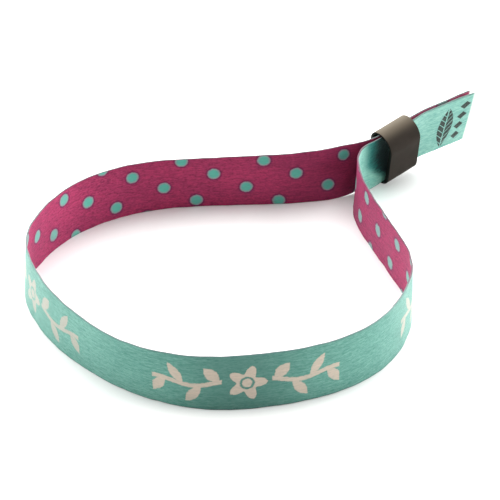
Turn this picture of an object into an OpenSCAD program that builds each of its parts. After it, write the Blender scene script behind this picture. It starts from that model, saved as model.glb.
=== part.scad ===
// Fabric festival wristband: one printed ribbon bent into a loop and held by a hollow plastic slider.
// Millimetres. The ribbon stands on its lower edge, z = 0 is the floor, +Z is up.
// The ribbon's table gives its lower edge from the back tail, through the slider, round the loop
// and through the slider again to the front tail. A smooth curve is drawn through the rows.

/* [Ribbon] */
// Width of the ribbon, floor edge to top edge
band_w = 15; // [10:0.5:20]
// Wall drawn for the ribbon; the cloth itself is about 0.4 mm thick
band_t = 1; // [1:0.1:1.4]
// Sections drawn from each row of the table to the next
band_steps = 8; // [4:1:12]

/* [Slider] */
// Length along the ribbon
slider_l = 9.5; // [8:0.5:14]
// Height across the ribbon
slider_w = 16.8; // [16.8:0.2:22]
// Thickness through both layers of ribbon; both ends of the oval are full half circles
slider_t = 7.8; // [6:0.2:10]
// Wall at the top and bottom of the tunnel
slider_wall_end = 0.7; // [0.5:0.1:0.7]
// Wall at the front and back of the tunnel
slider_wall_side = 1.05; // [0.8:0.05:1.6]
// Corner radius of the tunnel
tunnel_r = 1.8; // [0.8:0.1:2.4]

/* [Slider place] */
// Middle of the oval's lowest point at the end that faces the loop, on the ribbon's own plan
slider_x = 31.1; // [25:0.1:40]
// The same point, front to back
slider_y = 29.9; // [20:0.1:40]
// The same point, above the floor
slider_z = 0.3; // [0:0.1:3]
// Direction of the tunnel on the floor, turned from +X towards +Y
slider_turn = 39; // [20:1:60]
// How far the tunnel climbs towards the tails
slider_climb = 8; // [0:1:15]
// How far the top leans to the front
slider_lean = 15; // [0:1:20]

/* [Layers in the slider] */
// Height of the ribbon's lower edge above the slider's lowest point
layer_up = 0.9; // [0.85:0.05:1.4]
// Lower edge of the back layer, from the middle of the tunnel; minus is to the back
layer_back = -0.8; // [-1.2:0.1:0]
// Lower edge of the front layer, from the middle of the tunnel; plus is to the front
layer_front = 0.8; // [0:0.1:1.2]
// How much further apart both tails bend to the front by their ends
tail_bend = 3; // [0:0.2:5]

/* [Hidden] */
// Columns: along the tunnel from its loop end, bend to the front as a share of tail_bend,
// lean to the right of travel, slant of the section along the ribbon
BACK_LAYER = [
    [27.8, 0.9, -13, 0],
    [19.5, 0.4, -14, 0],
    [12, 0.0, -14, 0],
    [6, 0.0, -14, 0],
    [0, 0.0, -14, 0],
];
// Columns: x, y, lift off the floor, lean to the outside, slant of the section
LOOP = [
    // back strand, from the slider leftwards
    [25.8, 24.3, 0.1, 1, 0],
    [19.5, 21.3, 0.0, 1, 0],
    [9.0, 19.9, 0.0, -3, 0],
    [-3.0, 19.4, 0.0, -3.5, 0],
    [-15.0, 19.4, 0.0, -6, 0],
    [-28.0, 16.3, 0.0, -2, 0],
    [-40.5, 9.6, 0.0, 0, 0],
    [-49.7, -2.6, 0.0, 0, 0],
    // left turn
    [-55.2, -17.0, 0.0, -3, 0],
    [-50.0, -32.4, 0.0, -1, 0],
    [-40.5, -45.7, 0.0, 2, 0],
    // front strand, rightwards
    [-28.0, -57.4, 0.0, 7, 0],
    [-14.0, -63.5, 0.0, 1, 0],
    [0.0, -63.8, 0.0, -3, 0],
    [13.8, -59.8, 0.0, 0, 0],
    [26.6, -53.2, 0.0, 0, 0],
    [35.8, -41.2, 0.0, -1, 0],
    // right turn and the right strand, up to the slider
    [39.1, -25.8, 0.0, 0, 0],
    [34.3, -12.0, 0.0, -1, 0],
    [28.6, 2.0, 0.0, 0, 0],
    [24.6, 14.0, 0.0, 4, 0],
    [25.5, 22.5, 0.0, 3, 0],
    [29.2, 26.2, 0.3, 7, 0],
];
FRONT_LAYER = [
    [0, 0.0, 13, 0],
    [6, 0.0, 13, 0],
    [12, 0.0, 13, 0],
    [18.5, 0.4, 13, 0],
    [25.6, 0.8, 12, 3],
];

function unit(v) = v / norm(v);
function turned(v) = let (a = slider_turn) [v.x * cos(a) - v.y * sin(a), v.x * sin(a) + v.y * cos(a), v.z];
// The slider's own directions: along the tunnel, up across the ribbon, and out to the front
ALONG = turned([cos(slider_climb), 0, sin(slider_climb)]);
UP_FLAT = turned([-sin(slider_climb), 0, cos(slider_climb)]);
FRONT_FLAT = cross(ALONG, UP_FLAT);
UP = UP_FLAT * cos(slider_lean) + FRONT_FLAT * sin(slider_lean);
FRONT = FRONT_FLAT * cos(slider_lean) - UP_FLAT * sin(slider_lean);
BASE = [slider_x, slider_y, slider_z];

function in_slider(r, side) =
    let (p = BASE + ALONG * r[0] + UP * layer_up + FRONT * (side + r[1] * tail_bend))
    [p.x, p.y, p.z, r[2], r[3]];

BODY = concat(
    [for (r = BACK_LAYER) in_slider(r, layer_back)],
    LOOP,
    [for (r = FRONT_LAYER) in_slider(r, layer_front)]
);
LAST = len(BODY) - 1;
ROWS = concat([2 * BODY[0] - BODY[1]], BODY, [2 * BODY[LAST] - BODY[LAST - 1]]);

// A uniform cubic B-spline through four neighbouring rows, so the cloth has no kink
function spline(i, t) =
    (pow(1 - t, 3) * ROWS[i] + (3 * pow(t, 3) - 6 * t * t + 4) * ROWS[i + 1]
    + (-3 * pow(t, 3) + 3 * t * t + 3 * t + 1) * ROWS[i + 2] + pow(t, 3) * ROWS[i + 3]) / 6;
STATIONS = concat(
    [for (i = [0 : len(ROWS) - 4], k = [0 : band_steps - 1]) spline(i, k / band_steps)],
    [spline(len(ROWS) - 4, 1)]
);
N = len(STATIONS);

function place(s) = [s[0], s[1], s[2]];
function travel(i) = unit(place(STATIONS[min(i + 1, N - 1)]) - place(STATIONS[max(i - 1, 0)]));
// Four corners of one section: outer low, outer high, inner high, inner low
function section(i) =
    let (s = STATIONS[i], t = travel(i), v = unit([0, 0, 1] - t * t.z), n = cross(t, v),
         w = v * cos(s[3]) + n * sin(s[3]), low = place(s), high = low + band_w * w + s[4] * t,
         h = n * band_t / 2)
    [low + h, high + h, high - h, low - h];
CORNERS = [for (i = [0 : N - 1]) each section(i)];

// The finished object stands with the middle of its outline over the origin
MID = [(min([for (c = CORNERS) c.x]) + max([for (c = CORNERS) c.x])) / 2,
       (min([for (c = CORNERS) c.y]) + max([for (c = CORNERS) c.y])) / 2, 0];

/* [Output] */

// The printed ribbon, swept through every section and closed by its two cut ends
module ribbon() {
    sides = [for (i = [0 : N - 2], k = [0 : 3])
        let (a = 4 * i + k, b = 4 * i + (k + 1) % 4) each [[a, b, b + 4], [a, b + 4, a + 4]]];
    ends = [[0, 3, 2], [0, 2, 1], [4 * N - 4, 4 * N - 3, 4 * N - 2], [4 * N - 4, 4 * N - 2, 4 * N - 1]];
    color([0.56, 0.78, 0.72])
        polyhedron(points = [for (c = CORNERS) c - MID], faces = concat(sides, ends), convexity = 12);
}

// A round bar along X, used for the oval's ends and the tunnel's corners
module bar(y, z, r, x0, x1) {
    translate([x0, y, z]) rotate([0, 90, 0]) cylinder(r = r, h = x1 - x0, $fn = 96);
}

// The oval outside of the slider: two bars and the flat between them
module slider_outside() {
    r = slider_t / 2;
    bar(0, r, r, 0, slider_l);
    bar(0, slider_w - r, r, 0, slider_l);
    translate([0, -r, r]) cube([slider_l, slider_t, slider_w - slider_t]);
}

// The tunnel that both layers of ribbon pass through, a box with rounded corners
module slider_tunnel() {
    y = slider_t / 2 - slider_wall_side;
    low = slider_wall_end;
    high = slider_w - slider_wall_end;
    for (a = [-1, 1], z = [low + tunnel_r, high - tunnel_r])
        bar(a * (y - tunnel_r), z, tunnel_r, -1, slider_l + 1);
    translate([-1, -y, low + tunnel_r]) cube([slider_l + 2, 2 * y, high - low - 2 * tunnel_r]);
    translate([-1, -y + tunnel_r, low]) cube([slider_l + 2, 2 * (y - tunnel_r), high - low]);
}

// The one-way plastic slider, threaded over both layers where they meet
module slider() {
    color([0.29, 0.26, 0.23])
        translate(BASE - MID) rotate([slider_lean, -slider_climb, slider_turn])
            difference() {
                slider_outside();
                slider_tunnel();
            }
}

ribbon();
slider();
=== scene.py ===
"""Fabric festival wristband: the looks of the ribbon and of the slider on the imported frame.

Lengths are millimetres, as in the part's source, and turn into metres where a mesh is made.
The ribbon is swept through the same table as its solid, with the real cloth's thickness.
Its places are told as s, along the ribbon from the back tail, and v, down from its upper edge.
"""

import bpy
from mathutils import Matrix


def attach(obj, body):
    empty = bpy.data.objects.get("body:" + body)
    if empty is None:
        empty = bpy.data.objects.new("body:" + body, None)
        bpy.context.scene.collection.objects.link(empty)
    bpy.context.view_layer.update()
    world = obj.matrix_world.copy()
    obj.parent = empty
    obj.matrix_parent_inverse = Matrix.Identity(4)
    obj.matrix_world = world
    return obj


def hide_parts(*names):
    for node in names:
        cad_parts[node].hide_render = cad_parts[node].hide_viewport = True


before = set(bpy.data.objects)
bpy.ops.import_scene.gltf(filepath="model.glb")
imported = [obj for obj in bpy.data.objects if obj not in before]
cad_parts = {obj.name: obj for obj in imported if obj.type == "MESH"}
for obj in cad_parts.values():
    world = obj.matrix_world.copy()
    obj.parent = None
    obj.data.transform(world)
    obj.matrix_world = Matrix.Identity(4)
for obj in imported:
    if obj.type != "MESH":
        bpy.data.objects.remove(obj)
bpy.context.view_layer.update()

import math
import random

import bpy
import numpy as np
from mathutils import Vector

MM = 0.001

# Ribbon, as in the part's source
BAND_W = 15
# s at the back tail's end
BACK_END = -0.9
# Real thickness of the cloth, and of the firmer woven edge
CLOTH_T = 0.38
SELVEDGE_T = 0.42
SELVEDGE_W = 0.5
# Spacing of the mesh's sections along the ribbon, and numbers of points across a face and round an edge
SECTION_STEP = 0.45
ACROSS = 18
ROUND = 5
# Points of the path from each row of its table to the next, before they are spaced evenly
PATH_STEPS = 60
# The cloth's faces: its outside, its inside and the bare woven edge, in the order of its materials
OUTSIDE, INSIDE, WOVEN_EDGE = 0, 1, 2
# The face that each side of the rounded edges belongs to
TOP_ROUND = (OUTSIDE, WOVEN_EDGE, WOVEN_EDGE, WOVEN_EDGE, INSIDE)
LOW_ROUND = (INSIDE, WOVEN_EDGE, WOVEN_EDGE, OUTSIDE, OUTSIDE)

# Slider, as in the part's source
SLIDER_L = 9.5
SLIDER_W = 16.8
SLIDER_T = 7.8
SLIDER_WALL_END = 0.7
SLIDER_WALL_SIDE = 1.05
TUNNEL_R = 1.8
SLIDER_AT = Vector((31.1, 29.9, 0.3))
SLIDER_TURN = 39
SLIDER_CLIMB = 8
SLIDER_LEAN = 15
LAYER_UP = 0.9
LAYER_BACK = -0.8
LAYER_FRONT = 0.8
TAIL_BEND = 3

# Columns: along the tunnel from its loop end, bend to the front as a share of TAIL_BEND,
# lean to the right of travel, slant of the section along the ribbon
BACK_LAYER = [
    (27.8, 0.9, -13, 0),
    (19.5, 0.4, -14, 0),
    (12, 0.0, -14, 0),
    (6, 0.0, -14, 0),
    (0, 0.0, -14, 0),
]
# Columns: x, y, lift off the floor, lean to the outside, slant of the section
LOOP = [
    # back strand, from the slider leftwards
    (25.8, 24.3, 0.1, 1, 0),
    (19.5, 21.3, 0.0, 1, 0),
    (9.0, 19.9, 0.0, -3, 0),
    (-3.0, 19.4, 0.0, -3.5, 0),
    (-15.0, 19.4, 0.0, -6, 0),
    (-28.0, 16.3, 0.0, -2, 0),
    (-40.5, 9.6, 0.0, 0, 0),
    (-49.7, -2.6, 0.0, 0, 0),
    # left turn
    (-55.2, -17.0, 0.0, -3, 0),
    (-50.0, -32.4, 0.0, -1, 0),
    (-40.5, -45.7, 0.0, 2, 0),
    # front strand, rightwards
    (-28.0, -57.4, 0.0, 7, 0),
    (-14.0, -63.5, 0.0, 1, 0),
    (0.0, -63.8, 0.0, -3, 0),
    (13.8, -59.8, 0.0, 0, 0),
    (26.6, -53.2, 0.0, 0, 0),
    (35.8, -41.2, 0.0, -1, 0),
    # right turn and the right strand, up to the slider
    (39.1, -25.8, 0.0, 0, 0),
    (34.3, -12.0, 0.0, -1, 0),
    (28.6, 2.0, 0.0, 0, 0),
    (24.6, 14.0, 0.0, 4, 0),
    (25.5, 22.5, 0.0, 3, 0),
    (29.2, 26.2, 0.3, 7, 0),
]
FRONT_LAYER = [
    (0, 0.0, 13, 0),
    (6, 0.0, 13, 0),
    (12, 0.0, 13, 0),
    (18.5, 0.4, 13, 0),
    (25.6, 0.8, 12, 3),
]
# Middle of the finished object's outline on the table's own plan, as the part's source works it out
MID = Vector((1.077, -8.97, 0))

# Ripples of the cloth: how far it bellies between its edges, and the waves over its width and by its edges;
# columns: wavelength along the ribbon, size
BELLY = 0.1
WAVES = [(61, 0.1), (37, 0.07), (23, 0.05), (11.5, 0.02), (6.3, 0.012)]
EDGE_WAVES = [(8.7, 0.035), (4.9, 0.02), (2.3, 0.008)]
# The most that a wide wave is skewed from edge to edge, in radians
WAVE_SKEW = 2.7
# Share of the width that an edge wave takes
EDGE_WAVE_REACH = 0.28
# Stretches of s where the slider holds the layers flat, and the length over which the cloth comes free
HELD = [(16, 27), (325, 336)]
COMES_FREE = 8

# Where the front layer tucks into the slider, and the lengths over which the tuck comes and goes
TUCK_FROM, TUCK_TO = 319, 333
TUCK_COMES, TUCK_GOES = 6, 5
# The tuck bends out below and in above, up to TUCK_TOP, swells near the lower edge and has a dent above.
# Its places across the ribbon are shares of the width from the lower edge
TUCK_BEND = 0.63
TUCK_TOP = 0.8
SWELL = 0.35
SWELL_AT, SWELL_HALF = 0.17, 0.12
DENT = 0.35
DENT_AT, DENT_HALF = 0.62, 0.25
DENT_S, DENT_HALF_LENGTH = 325.5, 2.2

# How far the front tail's upper edge lies back from the solid's, which needs a thicker wall than the cloth:
# the spans of s over which it comes and goes, and the share that goes
TAIL_BACK = 0.7
TAIL_BACK_COMES = (332, 342)
TAIL_BACK_GOES = (345, 353)
TAIL_BACK_GONE = 0.7

# Rounding of the slider's rims, outside and in the tunnel's mouths
RIM_OUTER = 0.16
RIM_INNER = 0.16
# Degrees between the points of a rounded rim, and how many of its sides still belong to the outside
RIM_STEP = 15
RIM_SIDES = 2
# Points round each half circle of the oval, along each flat side, and along its length as shares of it
CAP_POINTS = 41
FLAT_POINTS = 14
LENGTH_SHARES = (0.1, 0.25, 0.5, 0.75, 0.9)
# Rounds of the search for the wall's thickness
WALL_ROUNDS = 40

# Inside print: dots on a square lattice
DOT_R = 1.6
LATTICE_STEP = (7.95, 4.25)
LATTICE_AT = (61.2, 9.4)
# The inside print isn't quite true to the cloth; columns: s, how much further along its lattice has got
# there, and how much lower it runs
PRINT_DRIFT = [
    (0, -3.0, 2.2),
    (12, -3.0, 2.2),
    (30, 0.0, 0.9),
    (60, 0.0, 0.0),
    (80, 0.0, -0.3),
    (100, 0.0, -1.1),
    (120, 0.1, -1.7),
    (200, 1.2, -1.0),
    (280, 2.4, 0.2),
]
# Distances from a dot's edge over which its halo ends, its rim ends and its teal heart ends
HALO_SPAN = (0.1, 0.7)
RIM_SPAN = (-0.2, 0.2)
HEART_SPAN = (-0.6, -0.1)
HALO_SHARE = 0.75
# How far its edge frays, and how much more on the right strand
DOT_FRAY = 0.5
DOT_FRAY_RIGHT = 0.8
# Spans of s over which the dots get fainter, and over which those of the right strand begin
DOTS_FADE = (98, 116)
RIGHT_DOTS = (262, 285)
# How much fainter they get, and how much paler, as painted sheen, on the right strand and the back tail; the
# share of that painted sheen which they have from the left turn on
DOT_FADE = 0.14
DOT_SHEEN = 0.5
DOT_SHEEN_FAR = 0.5

# Outside print: a flower between two leafy sprigs, repeated along the ribbon; s of the front flower, the
# distance to the next one, and s where the print starts and ends
PRINT_AT = 209.2
PRINT_REPEAT = 66
PRINT_FROM, PRINT_TO = 40, 310
# v of its middle line, half its length, how soft its edges are and how far they fray
PRINT_MIDDLE = 7.6
PRINT_HALF = 22
PRINT_SOFT = 0.16
PRINT_FRAY = 0.7
# The flower, and the open ring round its heart
FLOWER_R = 4.7
PETALS = 5
PETAL_DEPTH = 0.24
RING_R = 1.45
RING_HALF = 0.28
# The stem: how far from the flower's middle it starts, half its width, and how far it waves
STEM_FROM = 5.8
STEM_HALF = 0.58
STEM_WAVE = 0.7
# The leaves: how far from the flower's middle the first upper one and all lower ones lie, and their spacing
LEAVES_AT = 7.6
LOWER_LEAVES_FROM = 8
LEAF_STEP = 4.2
# A leaf: half its length and width, its middle along and off the stem, and its turn in degrees
LEAF_L = 2.9
LEAF_W = 1.25
LEAF_AT = (0.5, 2.35)
LEAF_TURN = 52

# Tail print: one dark leaf across the ribbon and a row of diamonds beside it, both slanted a little
TAIL_SLANT = 0.15
# The leaf: s and v of its middle, and half its length and width
TAIL_LEAF_AT = (345.2, 8.2)
TAIL_LEAF_L = 6.2
TAIL_LEAF_W = 1.9
# Its open lines: half the midrib's width and the veins', and the veins' spacing and slope
MIDRIB_HALF = 0.14
VEIN_HALF = 0.12
VEIN_STEP = 1.7
VEIN_SLOPE = 1.1
# The diamonds: s of their row, and half a diamond's width, their spacing and half the row's length
DIAMONDS_AT = 348.9
DIAMOND_R = 1.15
DIAMOND_STEP = 3
DIAMONDS_HALF = 6

# Share of the cloth that each print covers where the threads are dark, and where they are light
CREAM_COVER = (0.7, 0.94)
INK_COVER = (1, 0.88)
DOT_COVER = (0.78, 0.98)

# Satin: length, width and shift of its threads, the gap between them, and the gap's tone
THREAD_L = 2.3
THREAD_W = 0.24
THREAD_SHIFT = 0.37
THREAD_GAP = 0.03
GAP_TONE = 0.4
# Noises on the cloth: how fine they are along and across the ribbon, which part of the noise they take, and
# how detailed and rough they are
STREAKS = {"along": 0.5, "across": 2.2, "part": 0, "detail": 3, "rough": 0.6}
FLECKS = {"along": 1.1, "across": 3.2, "part": 7, "detail": 2, "rough": 0.5}
PATCHES = {"along": 0.06, "across": 0.1, "part": 3, "detail": 2, "rough": 0.5}
PRINT_NOISE = {"along": 1.6, "across": 1.6, "part": 9, "detail": 3, "rough": 0.7}
DOT_NOISE = {"along": 1.3, "across": 0.9, "part": 5, "detail": 3, "rough": 0.7}
EDGE_NOISE = {"along": 1.3, "across": 2.0, "part": 0, "detail": 3, "rough": 0.5}
# Shares of the threads and the noises in the satin's tone, and the span of their sum from dark to light
THREAD_SHARE = 0.2
STREAK_SHARE = 0.62
FLECK_SHARE = 0.5
PATCH_SHARE = 0.3
TONE_SPAN = (0.48, 1.14)
# Span of the flecks that are dark, and how dark
DARK_FLECKS = (0.31, 0.4)
DARK_FLECK_SHARE = 0.6
# How long the inside's streaks are and how wide, as multiples of the outside's
INSIDE_RUN = 0.7
INSIDE_GRAIN = 1.2
# Depths of the relief in metres, and strengths: the weave, the woven edge's loops and the plastic's grain
WEAVE_RELIEF = (0.00004, 0.55)
LOOP_RELIEF = (0.00005, 0.6)
GRAIN_RELIEF = (0.00003, 0.35)
# Spacing of the woven edge's loops
LOOP_STEP = 0.55

# Painted tones, as spans of s over which they come, or come and go; both tails are paler, which is painted
# light
FRONT_TAIL = (296, 316)
BACK_TAIL = (12, 20)
# Painted shade: the teal face is darker at the front strand's middle, up to these distances from it, and on
# the right turn
FRONT_MIDDLE = 208
FRONT_SHADE = (2, 19)
FRONT_SHADE_SHARE = 0.5
RIGHT_TURN_SHADE = ((236, 256), (280, 296))
RIGHT_TURN_SHADE_SHARE = 0.18
# Painted shade: the magenta face is darker from the left turn on, along the right strand and on the back
# strand's right end
LEFT_TURN_SHADE = (102, 124)
RIGHT_STRAND_SHADE = (262, 322)
BACK_STRAND_SHADE = ((22, 34), (34, 60))
INSIDE_SHADE_SHARE = 0.45
# Distances from the front print's middle over which the cream gets greyer
CREAM_GREYS = (24, 50)
# By its edges the teal face takes their colour, by this share, over this span of distances from them, which
# the threads fray
EDGE_SHARE = 0.75
EDGE_SPAN = (0.25, 0.5)
EDGE_FRAY = 0.15
# Partly painted shade: this darker plum stands for the magenta threads and for shade on these strands
# The woven edge is plum on the strands that show the magenta face, down to this span of v on the teal one
PLUM_BACK = ((24, 34), (112, 130))
PLUM_BACK_SHARE = 0.6
PLUM_RIGHT = ((254, 266), (316, 324))
PLUM_SPAN = (0.2, 0.4)
# Painted shade in the hollow beside the slider's mouth: spans of s over which its outer tone and its heart
# come, the mouth begins, and the cloth gets out of sight
HOLLOW_OUTER = (319, 323)
HOLLOW_HEART = (321.5, 326)
MOUTH = (326, 327)
HIDDEN = (328, 330)
# Its lower side slants from this place, ends softly and, like its outer side, is frayed by the threads
HOLLOW_LOW_AT = (322, 9.5)
HOLLOW_SLOPE = 0.9
HOLLOW_SOFT = 3
HOLLOW_FRAY = (2.5, 1.5)
# Length of the pale heat-cut ends, and how softly they begin
SEAL_L = 0.5
SEAL_SPAN = (-0.25, 0.3)
# The slider's painted highlight is brightest on the line that faces this much up and this much back, and
# fades over this span of heights from that line
HIGHLIGHT_UP, HIGHLIGHT_BACK = 0.77, 0.64
HIGHLIGHT_SPAN = (-4.2, 0.1)
# Span of its clouds of slightly dustier plastic
CLOUD_SPAN = (0.35, 0.75)
# How fine the plastic's grain and clouds and the paper's are, per metre
GRAIN_SCALE = 3200
CLOUD_SCALE = 180
PAPER_SCALE = 6

# Colours as they are seen, red, green and blue out of 255
TEAL = (110, 162, 149)
TEAL_DEEP = (68, 127, 115)
# The tails' paler teal is painted light
TEAL_TAIL_LIT = (144, 192, 179)
TEAL_TAIL_LIT_DEEP = (84, 148, 137)
# Painted shade on the teal face
TEAL_FRONT_SHADE = (52, 92, 85)
# Painted shade in the hollow beside the slider's mouth
TEAL_SHADE = (22, 112, 106)
MOUTH_SHADE = (0, 26, 28)
CREAM = (200, 180, 164)
CREAM_SIDE = (168, 160, 149)
TAIL_INK = (12, 9, 8)
MAGENTA = (184, 62, 104)
MAGENTA_DEEP = (114, 40, 74)
# The back tail's paler magenta is painted light
MAGENTA_TAIL_LIT = (194, 116, 146)
DOT_TEAL = (88, 190, 168)
DOT_RIM = (144, 160, 160)
DOT_HALO = (92, 30, 76)
EDGE_TEAL = (84, 118, 112)
EDGE_GREY = (114, 126, 124)
EDGE_DARK = (74, 86, 86)
EDGE_PLUM = (84, 54, 68)
CUT_WHITE = (214, 222, 216)
PLASTIC = (36, 31, 27)
PLASTIC_DUSTY = (43, 37, 33)
# Painted highlight along the slider's upper back rim
PLASTIC_HIGHLIGHT = (92, 84, 72)
# Painted shade on the slider's cut ends and in its tunnel
PLASTIC_CUT_SHADE = (14, 12, 10)
PAPER = (236, 236, 235)
PAPER_PALE = (240, 240, 239)

# Camera, as in the photograph: it looks at the zero of the table's plan, from so far away and so far down
CAMERA_AT = -MID
CAMERA_AWAY = 1000
CAMERA_DOWN = 35
CAMERA_LENS = 298.8
CAMERA_SENSOR = 36
CAMERA_SHIFT = (-0.001, 0.001)

# Half the floor's width, in metres
FLOOR_HALF = 4
# Light of the room, and the soft lights: name, place and size in metres, power in watts
ROOM_LIGHT = 0.12
SOFTBOXES = [
    ("softbox_right", (1.5, 0.25, 0.5), (1.7, 1.0), 43),
    ("softbox_left", (-1.5, 0.25, 0.5), (1.7, 1.0), 23),
    ("softbox_left_high", (-1.05, 0.0, 0.9), (1.3, 1.1), 10),
    ("softbox_back_left", (-0.55, 0.95, 0.9), (1.2, 1.0), 15),
    ("softbox_back_right", (0.55, 0.95, 0.9), (1.2, 1.0), 12),
    ("softbox_back_low", (0.3, 1.6, 0.35), (3.0, 0.7), 54),
    ("softbox_top", (0.1, 0.3, 1.5), (1.4, 1.2), 20),
]


def unit(v):
    return v / np.linalg.norm(v, axis=-1, keepdims=True)


def smooth(x):
    """0 up to 0, 1 from 1 on and smooth between."""
    x = np.clip(x, 0, 1)
    return x * x * (3 - 2 * x)


# The slider's own directions

def slider_axes():
    """Along the tunnel, up across the ribbon, and out to the front."""
    turn, climb, lean = (math.radians(a) for a in (SLIDER_TURN, SLIDER_CLIMB, SLIDER_LEAN))
    along = Vector((math.cos(turn) * math.cos(climb), math.sin(turn) * math.cos(climb), math.sin(climb)))
    tilt = math.sin(climb)
    up_flat = Vector((-math.cos(turn) * tilt, -math.sin(turn) * tilt, math.cos(climb)))
    front_flat = along.cross(up_flat)
    up = up_flat * math.cos(lean) + front_flat * math.sin(lean)
    front = front_flat * math.cos(lean) - up_flat * math.sin(lean)
    return along, up, front


ALONG, UP, FRONT = slider_axes()
# The way the line of the slider's painted highlight faces
SLIDER_HIGHLIGHT = (UP * HIGHLIGHT_UP - FRONT * HIGHLIGHT_BACK).normalized()


def in_slider(row, side):
    """The place, lean and slant of a row of the layer on this side of the tunnel."""
    along, bend, lean, slant = row
    place = SLIDER_AT + ALONG * along + UP * LAYER_UP + FRONT * (side + bend * TAIL_BEND)
    return (*place, lean, slant)


# The ribbon's path

def spline(rows):
    """A uniform cubic B-spline through neighbouring rows, as in the part's source."""
    rows = np.array(rows, float)
    rows = np.vstack([2 * rows[0] - rows[1], rows, 2 * rows[-1] - rows[-2]])
    t = (np.arange(PATH_STEPS) / PATH_STEPS)[:, None]
    second = 3 * t**3 - 6 * t**2 + 4
    third = -3 * t**3 + 3 * t**2 + 3 * t + 1
    spans = [
        ((1 - t) ** 3 * a + second * b + third * c + t**3 * d) / 6
        for a, b, c, d in zip(rows, rows[1:], rows[2:], rows[3:])
    ]
    last = (rows[-3] + 4 * rows[-2] + rows[-1]) / 6
    return np.vstack([*spans, last])


def frames(path):
    """Directions of each section: travel, width from the lower to the upper edge, and outwards."""
    travel = unit(np.gradient(path[:, :3], axis=0))
    upright = unit(np.array([0, 0, 1]) - travel * travel[:, 2:])
    side = np.cross(travel, upright)
    lean = np.radians(path[:, 3:4])
    width = upright * np.cos(lean) + side * np.sin(lean)
    outward = side * np.cos(lean) - upright * np.sin(lean)
    return travel, width, outward


def arc_length(path):
    """Length along the middle of the ribbon up to each section."""
    middle = path[:, :3] + frames(path)[1] * BAND_W / 2
    return np.concatenate([[0], np.cumsum(np.linalg.norm(np.diff(middle, axis=0), axis=1))])


def ribbon_path():
    """Evenly spaced sections of the ribbon's lower edge, and how far along each one is."""
    rows = [in_slider(r, LAYER_BACK) for r in BACK_LAYER] + LOOP
    rows += [in_slider(r, LAYER_FRONT) for r in FRONT_LAYER]
    fine = spline(rows)
    s = arc_length(fine) + BACK_END
    even = np.linspace(s[0], s[-1], int((s[-1] - s[0]) / SECTION_STEP) + 1)
    path = np.stack([np.interp(even, s, column) for column in fine.T], axis=1)
    return path, even


def free(s):
    """1 where the ribbon is free to move, 0 where the slider holds it."""
    held = [smooth(1 - np.maximum(low - s, s - high) / COMES_FREE) for low, high in HELD]
    return 1 - np.maximum(*held)


def ripple(s, height):
    """How far the cloth wanders off its smooth path at s and this height over the lower edge."""
    rng = random.Random(11)
    across = height / BAND_W
    total = BELLY * (1 - (2 * across - 1) ** 2)
    for wave, size in WAVES:
        turn, skew = rng.uniform(0, 2 * math.pi), rng.uniform(-WAVE_SKEW, WAVE_SKEW)
        total = total + size * np.sin(2 * math.pi * s / wave + turn + skew * across)
    for edge in (0, 1):
        near = smooth(1 - np.abs(across - edge) / EDGE_WAVE_REACH)
        for wave, size in EDGE_WAVES:
            turn = rng.uniform(0, 2 * math.pi)
            total = total + size * near * np.sin(2 * math.pi * s / wave + turn)
    return total * free(s) + tuck(s, across) - tail_back(s) * across


def tuck(s, across):
    """How far out the front layer bends off its smooth path where it goes into the slider."""
    along = smooth((s - TUCK_FROM) / TUCK_COMES) * smooth((TUCK_TO - s) / TUCK_GOES)
    bend = TUCK_BEND * np.cos(math.pi * np.minimum(across / TUCK_TOP, 1))
    swell = SWELL * np.exp(-((across - SWELL_AT) / SWELL_HALF) ** 2)
    off_dent = ((across - DENT_AT) / DENT_HALF) ** 2 + ((s - DENT_S) / DENT_HALF_LENGTH) ** 2
    return along * (bend + swell) - DENT * np.exp(-off_dent)


def rise(s, span):
    """0 before a span of s, 1 after it and smooth between."""
    return smooth((s - span[0]) / (span[1] - span[0]))


def tail_back(s):
    """How far the front tail's upper edge lies back against the back tail."""
    return TAIL_BACK * rise(s, TAIL_BACK_COMES) * (1 - TAIL_BACK_GONE * rise(s, TAIL_BACK_GOES))


def section():
    """Points round one section: height over the lower edge, distance off the middle of the cloth, and face.

    The face is that of the side from this point on.
    """
    r = SELVEDGE_T / 2
    heights = r + (BAND_W - 2 * r) * (1 - np.cos(np.linspace(0, math.pi, ACROSS))) / 2
    beads = np.exp(-(np.minimum(heights - r, BAND_W - r - heights) / SELVEDGE_W) ** 2)
    half = CLOTH_T / 2 + (SELVEDGE_T - CLOTH_T) / 2 * beads
    turns = np.linspace(0, math.pi, ROUND + 2)[1:-1]
    points = [(h, d, OUTSIDE) for h, d in zip(heights, half)]
    points += [(BAND_W - r + r * math.sin(a), r * math.cos(a), f) for a, f in zip(turns, TOP_ROUND)]
    points += [(h, -d, INSIDE) for h, d in zip(heights[::-1], half[::-1])]
    points += [(r - r * math.sin(a), -r * math.cos(a), f) for a, f in zip(turns, LOW_ROUND)]
    return np.array(points)


def make_mesh(name, points, faces, materials, face_material, uv=None):
    """A smooth piece from points in millimetres; cloth also gets the s and v of each face's corners."""
    mesh = bpy.data.meshes.new(name)
    mesh.from_pydata((np.asarray(points) * MM).tolist(), [], faces)
    for material in materials:
        mesh.materials.append(material)
    mesh.polygons.foreach_set("material_index", face_material)
    mesh.polygons.foreach_set("use_smooth", [True] * len(mesh.polygons))
    if uv is not None:
        mesh.uv_layers.new(name="cloth_mm").data.foreach_set("uv", np.ravel(uv))
    mesh.update()
    piece = bpy.data.objects.new(name, mesh)
    bpy.context.scene.collection.objects.link(piece)
    return piece


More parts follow.
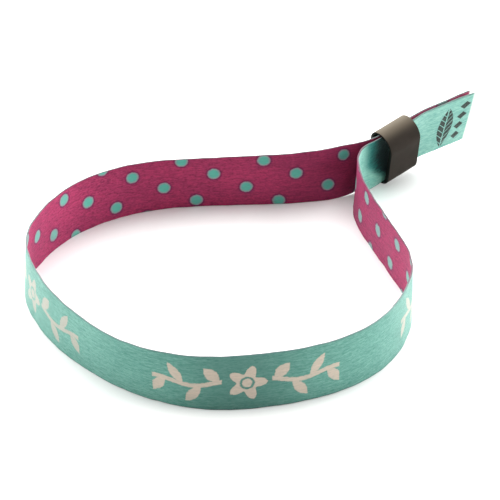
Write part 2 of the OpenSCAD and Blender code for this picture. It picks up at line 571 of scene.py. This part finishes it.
def make_ribbon(materials):
    """The whole ribbon as one closed skin, swept through every section and shut by its two cut ends."""
    path, s = ribbon_path()
    travel, width, outward = frames(path)
    ring = section()
    height, off, face = ring[:, 0], ring[:, 1], ring[:, 2].astype(int)
    off = off + ripple(s[:, None], height)
    slant = path[:, 4:5] * height / BAND_W
    points = path[:, None, :3] + width[:, None] * height[:, None] + travel[:, None] * slant[..., None]
    points = (points + outward[:, None] * off[..., None]).reshape(-1, 3) - np.array(MID)
    at, further, lower = zip(*PRINT_DRIFT)
    inside_s = s + np.interp(s, at, further)
    inside_drop = np.interp(s, at, lower)
    count, size = len(s), len(ring)
    faces, kinds, uv = [], [], []
    for i in range(count - 1):
        for k in range(size):
            j = (k + 1) % size
            faces.append((i * size + k, (i + 1) * size + k, (i + 1) * size + j, i * size + j))
            kinds.append(face[k])
            along, drop = (inside_s, inside_drop) if face[k] == INSIDE else (s, 0 * s)
            here, there = BAND_W - height[k], BAND_W - height[j]
            corners = ((i, here), (i + 1, here), (i + 1, there), (i, there))
            uv += [(along[n], v - drop[n]) for n, v in corners]
    for i in (0, count - 1):
        for corners in end_faces(size):
            if i:
                corners.reverse()
            faces.append([i * size + c for c in corners])
            kinds.append(WOVEN_EDGE)
            uv += [(s[i], BAND_W - height[c]) for c in corners]
    return make_mesh("ribbon_cloth", points, faces, materials, kinds, uv)


def end_faces(size):
    """Faces that shut one section, each between a point outside and the one behind it inside."""
    behind = [(2 * ACROSS + ROUND - 1 - k) % size for k in range(size)]
    first = 2 * ACROSS + ROUND + ROUND // 2
    for step in range(size // 2):
        a = (first + step) % size
        b = (a + 1) % size
        yield list(dict.fromkeys([a, b, behind[b], behind[a]]))


# The slider

def tunnel_distance(y, z):
    """How far this point of the cross-section is from the tunnel, a box with rounded corners."""
    half_y = SLIDER_T / 2 - SLIDER_WALL_SIDE - TUNNEL_R
    half_z = SLIDER_W / 2 - SLIDER_WALL_END - TUNNEL_R
    out_y, out_z = abs(y) - half_y, abs(z) - half_z
    return math.hypot(max(out_y, 0), max(out_z, 0)) + min(max(out_y, out_z), 0) - TUNNEL_R


def slider_outline():
    """Points round the oval from its front side: place, direction outwards and wall thickness there."""
    r = SLIDER_T / 2
    straight = SLIDER_W / 2 - r
    caps = [(a, straight) for a in np.linspace(0, math.pi, CAP_POINTS)]
    caps += [(a, -straight) for a in np.linspace(math.pi, 2 * math.pi, CAP_POINTS)]
    outline = []
    for (turn, z), (turn_2, z_2) in zip(caps, caps[1:] + caps[:1]):
        steps = 1 if z == z_2 else FLAT_POINTS
        for share in np.arange(steps) / steps:
            out = (math.cos(turn), math.sin(turn))
            place = (r * out[0], r * out[1] + z + (z_2 - z) * share)
            wall = 0
            for _ in range(WALL_ROUNDS):
                wall += tunnel_distance(place[0] - out[0] * wall, place[1] - out[1] * wall)
            outline.append((place, out, wall))
    return outline


def wall_loop(wall):
    """Points round the wall cut lengthwise: distance along the slider, depth under its outside, and face.

    The face is that of the side from this point on: 0 outside, and 1 on the cut ends and in the tunnel.
    """
    outer, inner = RIM_OUTER, RIM_INNER
    quarter = [math.radians(a) for a in range(0, 91, RIM_STEP)]
    end = [(outer - outer * math.sin(a), outer - outer * math.cos(a)) for a in quarter]
    end += [(inner - inner * math.cos(a), wall - inner + inner * math.sin(a)) for a in quarter]
    far = [(SLIDER_L - x, depth) for x, depth in reversed(end)]
    loop = [(x, depth, int(n >= RIM_SIDES)) for n, (x, depth) in enumerate(end)]
    loop += [(SLIDER_L * share, wall, 1) for share in LENGTH_SHARES]
    loop += [(x, depth, int(n < len(far) - RIM_SIDES - 1)) for n, (x, depth) in enumerate(far)]
    return loop + [(SLIDER_L * (1 - share), 0, 0) for share in LENGTH_SHARES]


def make_slider(materials):
    """The hollow oval, with small rounded rims at both mouths."""
    points, faces, kinds = [], [], []
    outline = slider_outline()
    around, size = len(outline), len(wall_loop(1))
    for i, (place, out, wall) in enumerate(outline):
        a, b = i * size, (i + 1) % around * size
        for k, (x, depth, kind) in enumerate(wall_loop(wall)):
            y, z = place[0] - out[0] * depth, place[1] - out[1] * depth
            points.append(SLIDER_AT + ALONG * x + FRONT * y + UP * (SLIDER_W / 2 + z) - MID)
            j = (k + 1) % size
            faces.append((a + k, a + j, b + j, b + k))
            kinds.append(kind)
    return make_mesh("slider_shell", points, faces, materials, kinds)


# Materials: arithmetic on a Field adds Math nodes, so that a pattern reads as a formula

def linear(colour):
    """A seen colour, 0 to 255, as the amounts of light that a shader takes."""
    shares = [c / 255 for c in colour]
    return (*[c / 12.92 if c <= 0.04045 else ((c + 0.055) / 1.055) ** 2.4 for c in shares], 1)


class Field:
    """A number that varies over the surface."""

    def __init__(self, paint, socket):
        self.paint = paint
        self.socket = socket

    def math(self, operation, *others):
        node = self.paint.node("ShaderNodeMath", operation=operation)
        for socket, value in zip(node.inputs, (self, *others)):
            self.paint.put(socket, value)
        return Field(self.paint, node.outputs[0])

    def __add__(self, other):
        return self.math("ADD", other)

    def __sub__(self, other):
        return self.math("SUBTRACT", other)

    def __mul__(self, other):
        return self.math("MULTIPLY", other)

    def __neg__(self):
        return self * -1

    def abs(self):
        return self.math("ABSOLUTE")

    def sin(self):
        return self.math("SINE")

    def cos(self):
        return self.math("COSINE")

    def least(self, other):
        return self.math("MINIMUM", other)

    def most(self, other):
        return self.math("MAXIMUM", other)

    def along(self, direction):
        """How far a place lies along a direction."""
        node = self.paint.node("ShaderNodeVectorMath", operation="DOT_PRODUCT")
        self.paint.put(node.inputs[0], self)
        node.inputs[1].default_value = direction
        return Field(self.paint, node.outputs["Value"])

    def repeated(self, length):
        """This number, brought between minus and plus half a length by whole lengths."""
        return self.math("WRAP", length / 2, -length / 2)

    def rises(self, span):
        """0 before a span, 1 after it and smooth between."""
        low, high = span
        node = self.paint.node("ShaderNodeMapRange", interpolation_type="SMOOTHSTEP")
        for name, value in (("Value", self), ("From Min", low), ("From Max", high)):
            self.paint.put(node.inputs[name], value)
        return Field(self.paint, node.outputs["Result"])

    def falls(self, span):
        """1 before a span, 0 after it and smooth between."""
        low, high = span
        return (-self).rises((-high, -low))

    def between(self, comes, goes):
        """1 from the end of one span to the start of the next, 0 outside both."""
        return self.rises(comes) * self.falls(goes)

    def inside(self, soft=0.06):
        """1 where this number of millimetres is over 0, with a soft edge."""
        return self.rises((-soft, soft))


class Paint:
    """One material and the nodes that colour it."""

    def __init__(self, name, roughness, **constants):
        self.material = bpy.data.materials.new(name)
        self.material.use_nodes = True
        self.tree = self.material.node_tree
        self.shader = self.tree.nodes["Principled BSDF"]
        self.shader.inputs["Roughness"].default_value = roughness
        for socket, value in constants.items():
            self.shader.inputs[socket.replace("_", " ")].default_value = value

    def node(self, kind, **settings):
        node = self.tree.nodes.new(kind)
        for setting, value in settings.items():
            setattr(node, setting, value)
        return node

    def put(self, socket, value):
        if isinstance(value, Field):
            self.tree.links.new(value.socket, socket)
        else:
            socket.default_value = value

    def cloth_place(self):
        """s and v, in millimetres."""
        place = self.node("ShaderNodeUVMap", uv_map="cloth_mm")
        parts = self.node("ShaderNodeSeparateXYZ")
        self.tree.links.new(place.outputs[0], parts.inputs[0])
        return Field(self, parts.outputs[0]), Field(self, parts.outputs[1])

    def object_place(self):
        """The place on the object, in metres."""
        return Field(self, self.node("ShaderNodeTexCoord").outputs["Object"])

    def place(self, x, y, z=0):
        node = self.node("ShaderNodeCombineXYZ")
        for socket, value in zip(node.inputs, (x, y, z)):
            self.put(socket, value)
        return Field(self, node.outputs[0])

    def noise(self, at, scale=1, detail=2, rough=0.5):
        node = self.node("ShaderNodeTexNoise")
        for name, value in (("Vector", at), ("Scale", scale), ("Detail", detail), ("Roughness", rough)):
            self.put(node.inputs[name], value)
        return Field(self, node.outputs[0])

    def cloth_noise(self, s, v, look, run=1, grain=1):
        """A noise on the cloth; run and grain stretch it along and across the ribbon."""
        at = self.place(s * (look["along"] / run), v * (look["across"] / grain), look["part"])
        return self.noise(at, detail=look["detail"], rough=look["rough"])

    def mix(self, share, one, other):
        """Colour one where share is 0, the other where it is 1."""
        node = self.node("ShaderNodeMix", data_type="RGBA")
        self.put(node.inputs[0], share)
        for socket, value in ((node.inputs[6], one), (node.inputs[7], other)):
            self.put(socket, value if isinstance(value, Field) else linear(value))
        return Field(self, node.outputs[2])

    def bump(self, height, relief):
        node = self.node("ShaderNodeBump")
        for name, value in (("Height", height), ("Distance", relief[0]), ("Strength", relief[1])):
            self.put(node.inputs[name], value)
        self.tree.links.new(node.outputs[0], self.shader.inputs["Normal"])

    def colour(self, value):
        self.put(self.shader.inputs["Base Color"], value)


def threads(paint, s, v, run):
    """Rows of staggered threads along the ribbon: a random tone for each, and the gaps between them."""
    node = paint.node("ShaderNodeTexBrick", offset=THREAD_SHIFT, offset_frequency=2, squash=1)
    inputs = {
        "Vector": paint.place(s, v), "Scale": 1, "Brick Width": THREAD_L * run, "Row Height": THREAD_W,
        "Color1": (0, 0, 0, 1), "Color2": (1, 1, 1, 1), "Mortar": (GAP_TONE, GAP_TONE, GAP_TONE, 1),
        "Mortar Size": THREAD_GAP, "Mortar Smooth": 1, "Bias": 0,
    }
    for name, value in inputs.items():
        paint.put(node.inputs[name], value)
    return Field(paint, node.outputs["Color"]), Field(paint, node.outputs["Fac"])


def melange(paint, s, v, run=1, grain=1):
    """Tone of the satin, 0 dark to 1 light, and the gaps between its threads.

    The tone is a sum of threads, streaks, flecks and slow patches. run is the streaks' length and grain
    their width, as multiples of the outside's.
    """
    tone, gap = threads(paint, s, v, run)
    streaks = paint.cloth_noise(s, v, STREAKS, run, grain)
    flecks = paint.cloth_noise(s, v, FLECKS, run, grain)
    patches = paint.cloth_noise(s, v, PATCHES)
    mixed = tone * THREAD_SHARE + streaks * STREAK_SHARE + flecks * FLECK_SHARE + patches * PATCH_SHARE
    dark = flecks.falls(DARK_FLECKS)
    return mixed.rises(TONE_SPAN) * (dark * -DARK_FLECK_SHARE + 1), gap


def cover(tone, shares):
    """How much of the cloth a print covers, by the threads' tone."""
    dark, light = shares
    return tone * (light - dark) + dark


def rosette(x, y):
    """A flower with an open ring round its heart; over 0 inside."""
    radius = (x * x + y * y).math("SQRT")
    turn = y.math("ARCTAN2", x)
    petals = (turn * PETALS).cos() * PETAL_DEPTH + (1 - PETAL_DEPTH)
    ring = (radius - RING_R).abs() - RING_HALF
    return (petals * FLOWER_R - radius).least(ring)


def leaf(x, y, length, width, at=(0, 0), turn=0):
    """A pointed leaf; over 0 inside."""
    c, s = math.cos(math.radians(turn)), math.sin(math.radians(turn))
    x, y = x - at[0], y - at[1]
    along = (x * c + y * s) * (1 / length)
    return (along * along * -1 + 1) * width - (y * c - x * s).abs()


def sprigs(x, y):
    """A wavy stem with leaves on both sides, the same way out to both ends; over 0 inside."""
    out = x.abs()
    y = y - (out * (2 * math.pi / (4 * LEAF_STEP))).sin() * STEM_WAVE
    stem = -(y.abs()) + STEM_HALF
    along, off = LEAF_AT
    cell = (out - LEAVES_AT).repeated(2 * LEAF_STEP)
    upper = leaf(cell, y, LEAF_L, LEAF_W, (along, off), LEAF_TURN)
    cell = (out - LEAVES_AT - LEAF_STEP).repeated(2 * LEAF_STEP)
    lower = leaf(cell, y, LEAF_L, LEAF_W, (along, -off), -LEAF_TURN).least(out - LOWER_LEAVES_FROM)
    return stem.most(upper).most(lower).least(out - STEM_FROM).least(-(out - PRINT_HALF))


def ornament(s, v, fray):
    """The repeated print on the outside: 1 on its strokes. fray moves their edges, in millimetres."""
    x = (s - PRINT_AT).repeated(PRINT_REPEAT)
    y = -(v - PRINT_MIDDLE)
    on_loop = (s - PRINT_FROM).least(-(s - PRINT_TO))
    return (rosette(x, y).most(sprigs(x, y)).least(on_loop) + fray).inside(PRINT_SOFT)


def tail_print(s, v):
    """The dark print on the front tail: 1 on its shapes."""
    low = v - BAND_W / 2
    s = s + low * TAIL_SLANT
    x, y = s - TAIL_LEAF_AT[0], v - TAIL_LEAF_AT[1]
    blade = leaf(y, x, TAIL_LEAF_L, TAIL_LEAF_W).least(x.abs() - MIDRIB_HALF)
    veins = (y + x.abs() * VEIN_SLOPE).repeated(VEIN_STEP).abs() - VEIN_HALF
    in_row = (low + DIAMOND_STEP / 2).repeated(DIAMOND_STEP).abs()
    diamonds = -((s - DIAMONDS_AT).abs() + in_row) + DIAMOND_R
    diamonds = diamonds.least(-(low.abs()) + DIAMONDS_HALF)
    return blade.least(veins).most(diamonds).inside()


def outside_print(paint, colour, s, v, tone):
    """Lays the repeated print and the tail's print over the cloth's colour."""
    fray = (paint.cloth_noise(s, v, PRINT_NOISE) - 0.5) * PRINT_FRAY
    cream = paint.mix((s - PRINT_AT).abs().rises(CREAM_GREYS), CREAM, CREAM_SIDE)
    colour = paint.mix(ornament(s, v, fray) * cover(tone, CREAM_COVER), colour, cream)
    return paint.mix(tail_print(s, v) * cover(tone, INK_COVER), colour, TAIL_INK)


def plum_edge(s):
    """1 along the strands that show the magenta face, where the plum woven edge is partly painted shade."""
    return (s.between(*PLUM_BACK) * PLUM_BACK_SHARE).most(s.between(*PLUM_RIGHT))


def hollow_shade(paint, colour, s, v, tone):
    """Paints shade into the hollow beside the slider's mouth."""
    along, low = HOLLOW_LOW_AT
    fray_along, fray_low = HOLLOW_FRAY
    frayed = s + (tone - 0.5) * fray_along
    upper = (-(v - (s - along) * HOLLOW_SLOPE - low - tone * fray_low)).rises((0, HOLLOW_SOFT))
    seen = s.falls(HIDDEN)
    colour = paint.mix(frayed.rises(HOLLOW_OUTER) * upper * seen, colour, TEAL_SHADE)
    heart = (frayed.rises(HOLLOW_HEART) * upper).most(s.rises(MOUTH))
    return paint.mix(heart * seen, colour, MOUTH_SHADE)


def seal(paint, colour, s, start, end):
    """Whitens the heat-cut ends."""
    near = (-(s - start - SEAL_L)).most(s - (end - SEAL_L))
    return paint.mix(near.rises(SEAL_SPAN), colour, CUT_WHITE)


def teal_outside(front_end):
    """The teal face, with its print."""
    paint = Paint(
        "satin_outside", roughness=0.5, Specular_IOR_Level=0.2, Sheen_Weight=0.15, Sheen_Roughness=0.4,
    )
    s, v = paint.cloth_place()
    tone, gap = melange(paint, s, v)
    # Painted light: the front tail is paler
    lit_tail = s.rises(FRONT_TAIL)
    colour = paint.mix(tone, paint.mix(lit_tail, TEAL_DEEP, TEAL_TAIL_LIT_DEEP), paint.mix(lit_tail, TEAL, TEAL_TAIL_LIT))
    # Painted shade at the front strand's middle and on the right turn
    front = (s - FRONT_MIDDLE).abs().falls(FRONT_SHADE) * FRONT_SHADE_SHARE
    right = s.between(*RIGHT_TURN_SHADE) * RIGHT_TURN_SHADE_SHARE
    colour = paint.mix(front.most(right), colour, TEAL_FRONT_SHADE)
    colour = outside_print(paint, colour, s, v, tone)
    off_edge = (v.least(-(v - BAND_W)) + tone * EDGE_FRAY).rises(EDGE_SPAN)
    colour = paint.mix(off_edge * EDGE_SHARE + (1 - EDGE_SHARE), EDGE_TEAL, colour)
    colour = paint.mix(v.falls(PLUM_SPAN) * plum_edge(s), colour, EDGE_PLUM)
    colour = hollow_shade(paint, colour, s, v, tone)
    paint.colour(seal(paint, colour, s, BACK_END, front_end))
    paint.bump(tone * 0.5 - gap, WEAVE_RELIEF)
    return paint.material


def dot_distance(s, v):
    """Distance to the middle of the nearest dot of the square lattice."""
    p, q = LATTICE_STEP
    pitch = math.hypot(p, q)
    s, v = s - LATTICE_AT[0], v - LATTICE_AT[1]
    x = (s * (p / pitch) - v * (q / pitch)).repeated(pitch)
    y = (s * (q / pitch) + v * (p / pitch)).repeated(pitch)
    return (x * x + y * y).math("SQRT")


def dot_print(paint, colour, s, v, tone):
    """Lays the dots over the cloth's colour: a dark halo, a greyer rim and a teal heart."""
    far = s.rises(DOTS_FADE)
    right = s.rises(RIGHT_DOTS)
    fray = (paint.cloth_noise(s, v, DOT_NOISE) - 0.5) * (right * DOT_FRAY_RIGHT + DOT_FRAY)
    beyond = dot_distance(s, v) + fray - DOT_R
    colour = paint.mix(beyond.falls(HALO_SPAN) * HALO_SHARE, colour, DOT_HALO)
    # Painted sheen: the dots are paler on the right strand and the back tail, and less so from the left turn
    # on
    painted_sheen = (far * DOT_SHEEN_FAR).most(right).most(s.falls(BACK_TAIL))
    dot = paint.mix(beyond.falls(HEART_SPAN) * (painted_sheen * -DOT_SHEEN + 1), DOT_RIM, DOT_TEAL)
    return paint.mix(beyond.falls(RIM_SPAN) * (cover(tone, DOT_COVER) - far * DOT_FADE), colour, dot)


def magenta_inside(front_end):
    """The magenta face, with its dots."""
    paint = Paint(
        "satin_inside", roughness=0.6, Specular_IOR_Level=0.1, Sheen_Weight=0.03, Sheen_Roughness=0.5,
    )
    s, v = paint.cloth_place()
    tone, gap = melange(paint, s, v, INSIDE_RUN, INSIDE_GRAIN)
    # Painted light: the back tail is paler
    lit_tail = s.falls(BACK_TAIL)
    colour = paint.mix(tone, paint.mix(lit_tail, MAGENTA_DEEP, MAGENTA), paint.mix(lit_tail, MAGENTA, MAGENTA_TAIL_LIT))
    # Painted shade from the left turn on, along the right strand and at the back strand's right end
    shade_onwards = (s.rises(LEFT_TURN_SHADE) + s.rises(RIGHT_STRAND_SHADE)) * 0.5
    painted_shade = shade_onwards.most(s.between(*BACK_STRAND_SHADE)) * INSIDE_SHADE_SHARE
    colour = paint.mix(painted_shade, colour, MAGENTA_DEEP)
    colour = dot_print(paint, colour, s, v, tone)
    start, end = BACK_END + PRINT_DRIFT[0][1], front_end + PRINT_DRIFT[-1][1]
    paint.colour(seal(paint, colour, s, start, end))
    paint.bump(tone * 0.5 - gap, WEAVE_RELIEF)
    return paint.material


def woven_edge(front_end):
    """The woven edge and its small loops."""
    paint = Paint(
        "selvedge", roughness=0.7, Specular_IOR_Level=0.25, Sheen_Weight=0.2, Sheen_Roughness=0.5,
    )
    s, v = paint.cloth_place()
    tone = paint.cloth_noise(s, v, EDGE_NOISE)
    # Plum along those strands, partly painted shade
    colour = paint.mix(plum_edge(s), paint.mix(tone, EDGE_DARK, EDGE_GREY), EDGE_PLUM)
    paint.colour(seal(paint, colour, s, BACK_END, front_end))
    loops = (s * (2 * math.pi / LOOP_STEP)).sin() * 0.5 + 0.5
    paint.bump(loops, LOOP_RELIEF)
    return paint.material


def slider_plastic():
    """Moulded plastic, with a painted highlight along its upper back rim."""
    paint = Paint(
        "slider_satin", roughness=0.7, Specular_IOR_Level=0.1, Specular_Tint=(1, 0.9, 0.8, 1),
        Sheen_Weight=1.0, Sheen_Roughness=0.12, Sheen_Tint=(1, 0.95, 0.86, 1),
    )
    at = paint.object_place()
    grain = paint.noise(at, GRAIN_SCALE, detail=3, rough=0.6)
    colour = paint.mix(paint.noise(at, CLOUD_SCALE).rises(CLOUD_SPAN), PLASTIC, PLASTIC_DUSTY)
    r = SLIDER_T / 2
    # A painted highlight along the upper back rim
    highlight_line = SLIDER_AT - MID + UP * (SLIDER_W - r) + SLIDER_HIGHLIGHT * r
    painted_sheen = (at.along(SLIDER_HIGHLIGHT) * (1 / MM) - highlight_line.dot(SLIDER_HIGHLIGHT)).rises(HIGHLIGHT_SPAN)
    paint.colour(paint.mix(painted_sheen * painted_sheen, colour, PLASTIC_HIGHLIGHT))
    paint.bump(grain, GRAIN_RELIEF)
    return paint.material


def shaded_cut_plastic():
    """The slider's cut ends and tunnel, painted darker than its outside as shade."""
    paint = Paint("slider_cut_shade", roughness=0.75, Specular_IOR_Level=0.1)
    paint.shader.inputs["Base Color"].default_value = linear(PLASTIC_CUT_SHADE)
    return paint.material


def floor_paper():
    """White paper, very slightly uneven."""
    paint = Paint("floor_paper", roughness=0.9, Specular_IOR_Level=0.1)
    paint.colour(paint.mix(paint.noise(paint.object_place(), PAPER_SCALE), PAPER, PAPER_PALE))
    return paint.material


# Scene around the object

def make_floor():
    mesh = bpy.data.meshes.new("floor")
    r = FLOOR_HALF
    mesh.from_pydata([(-r, -r, 0), (r, -r, 0), (r, r, 0), (-r, r, 0)], [], [(0, 1, 2, 3)])
    mesh.materials.append(floor_paper())
    floor = bpy.data.objects.new("floor", mesh)
    bpy.context.scene.collection.objects.link(floor)
    return floor


def softbox(name, place, size, watts):
    """A soft light that faces the object."""
    lamp = bpy.data.lights.new(name, "AREA")
    lamp.shape = "RECTANGLE"
    lamp.size, lamp.size_y = size
    lamp.energy = watts
    light = bpy.data.objects.new(name, lamp)
    light.location = place
    light.rotation_euler = (-Vector(place)).to_track_quat("-Z", "Y").to_euler()
    bpy.context.scene.collection.objects.link(light)


def make_light():
    """A dim even room, with large soft lights over the object, behind it and to its sides."""
    world = bpy.data.worlds.new("room")
    world.use_nodes = True
    world.node_tree.nodes["Background"].inputs["Color"].default_value = (1, 1, 1, 1)
    world.node_tree.nodes["Background"].inputs["Strength"].default_value = ROOM_LIGHT
    bpy.context.scene.world = world
    for name, place, size, watts in SOFTBOXES:
        softbox(name, place, size, watts)
    bpy.context.scene.view_settings.view_transform = "Standard"


def make_camera():
    """A long lens straight in front of the object, looking down as the photograph does."""
    lens = bpy.data.cameras.new("camera")
    lens.sensor_width = CAMERA_SENSOR
    lens.lens = CAMERA_LENS
    lens.shift_x, lens.shift_y = CAMERA_SHIFT
    lens.clip_start = 0.01
    camera = bpy.data.objects.new("camera", lens)
    down = math.radians(CAMERA_DOWN)
    away = Vector((0, -math.cos(down), math.sin(down))) * CAMERA_AWAY
    camera.location = (CAMERA_AT + away) * MM
    camera.rotation_euler = (math.pi / 2 - down, 0, 0)
    bpy.context.scene.collection.objects.link(camera)
    bpy.context.scene.camera = camera


make_camera()
make_light()
make_floor()

front_end = ribbon_path()[1][-1]
ribbon = make_ribbon([teal_outside(front_end), magenta_inside(front_end), woven_edge(front_end)])
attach(ribbon, "root")
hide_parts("ribbon")

slider = make_slider([slider_plastic(), shaded_cut_plastic()])
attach(slider, "root")
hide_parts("slider")
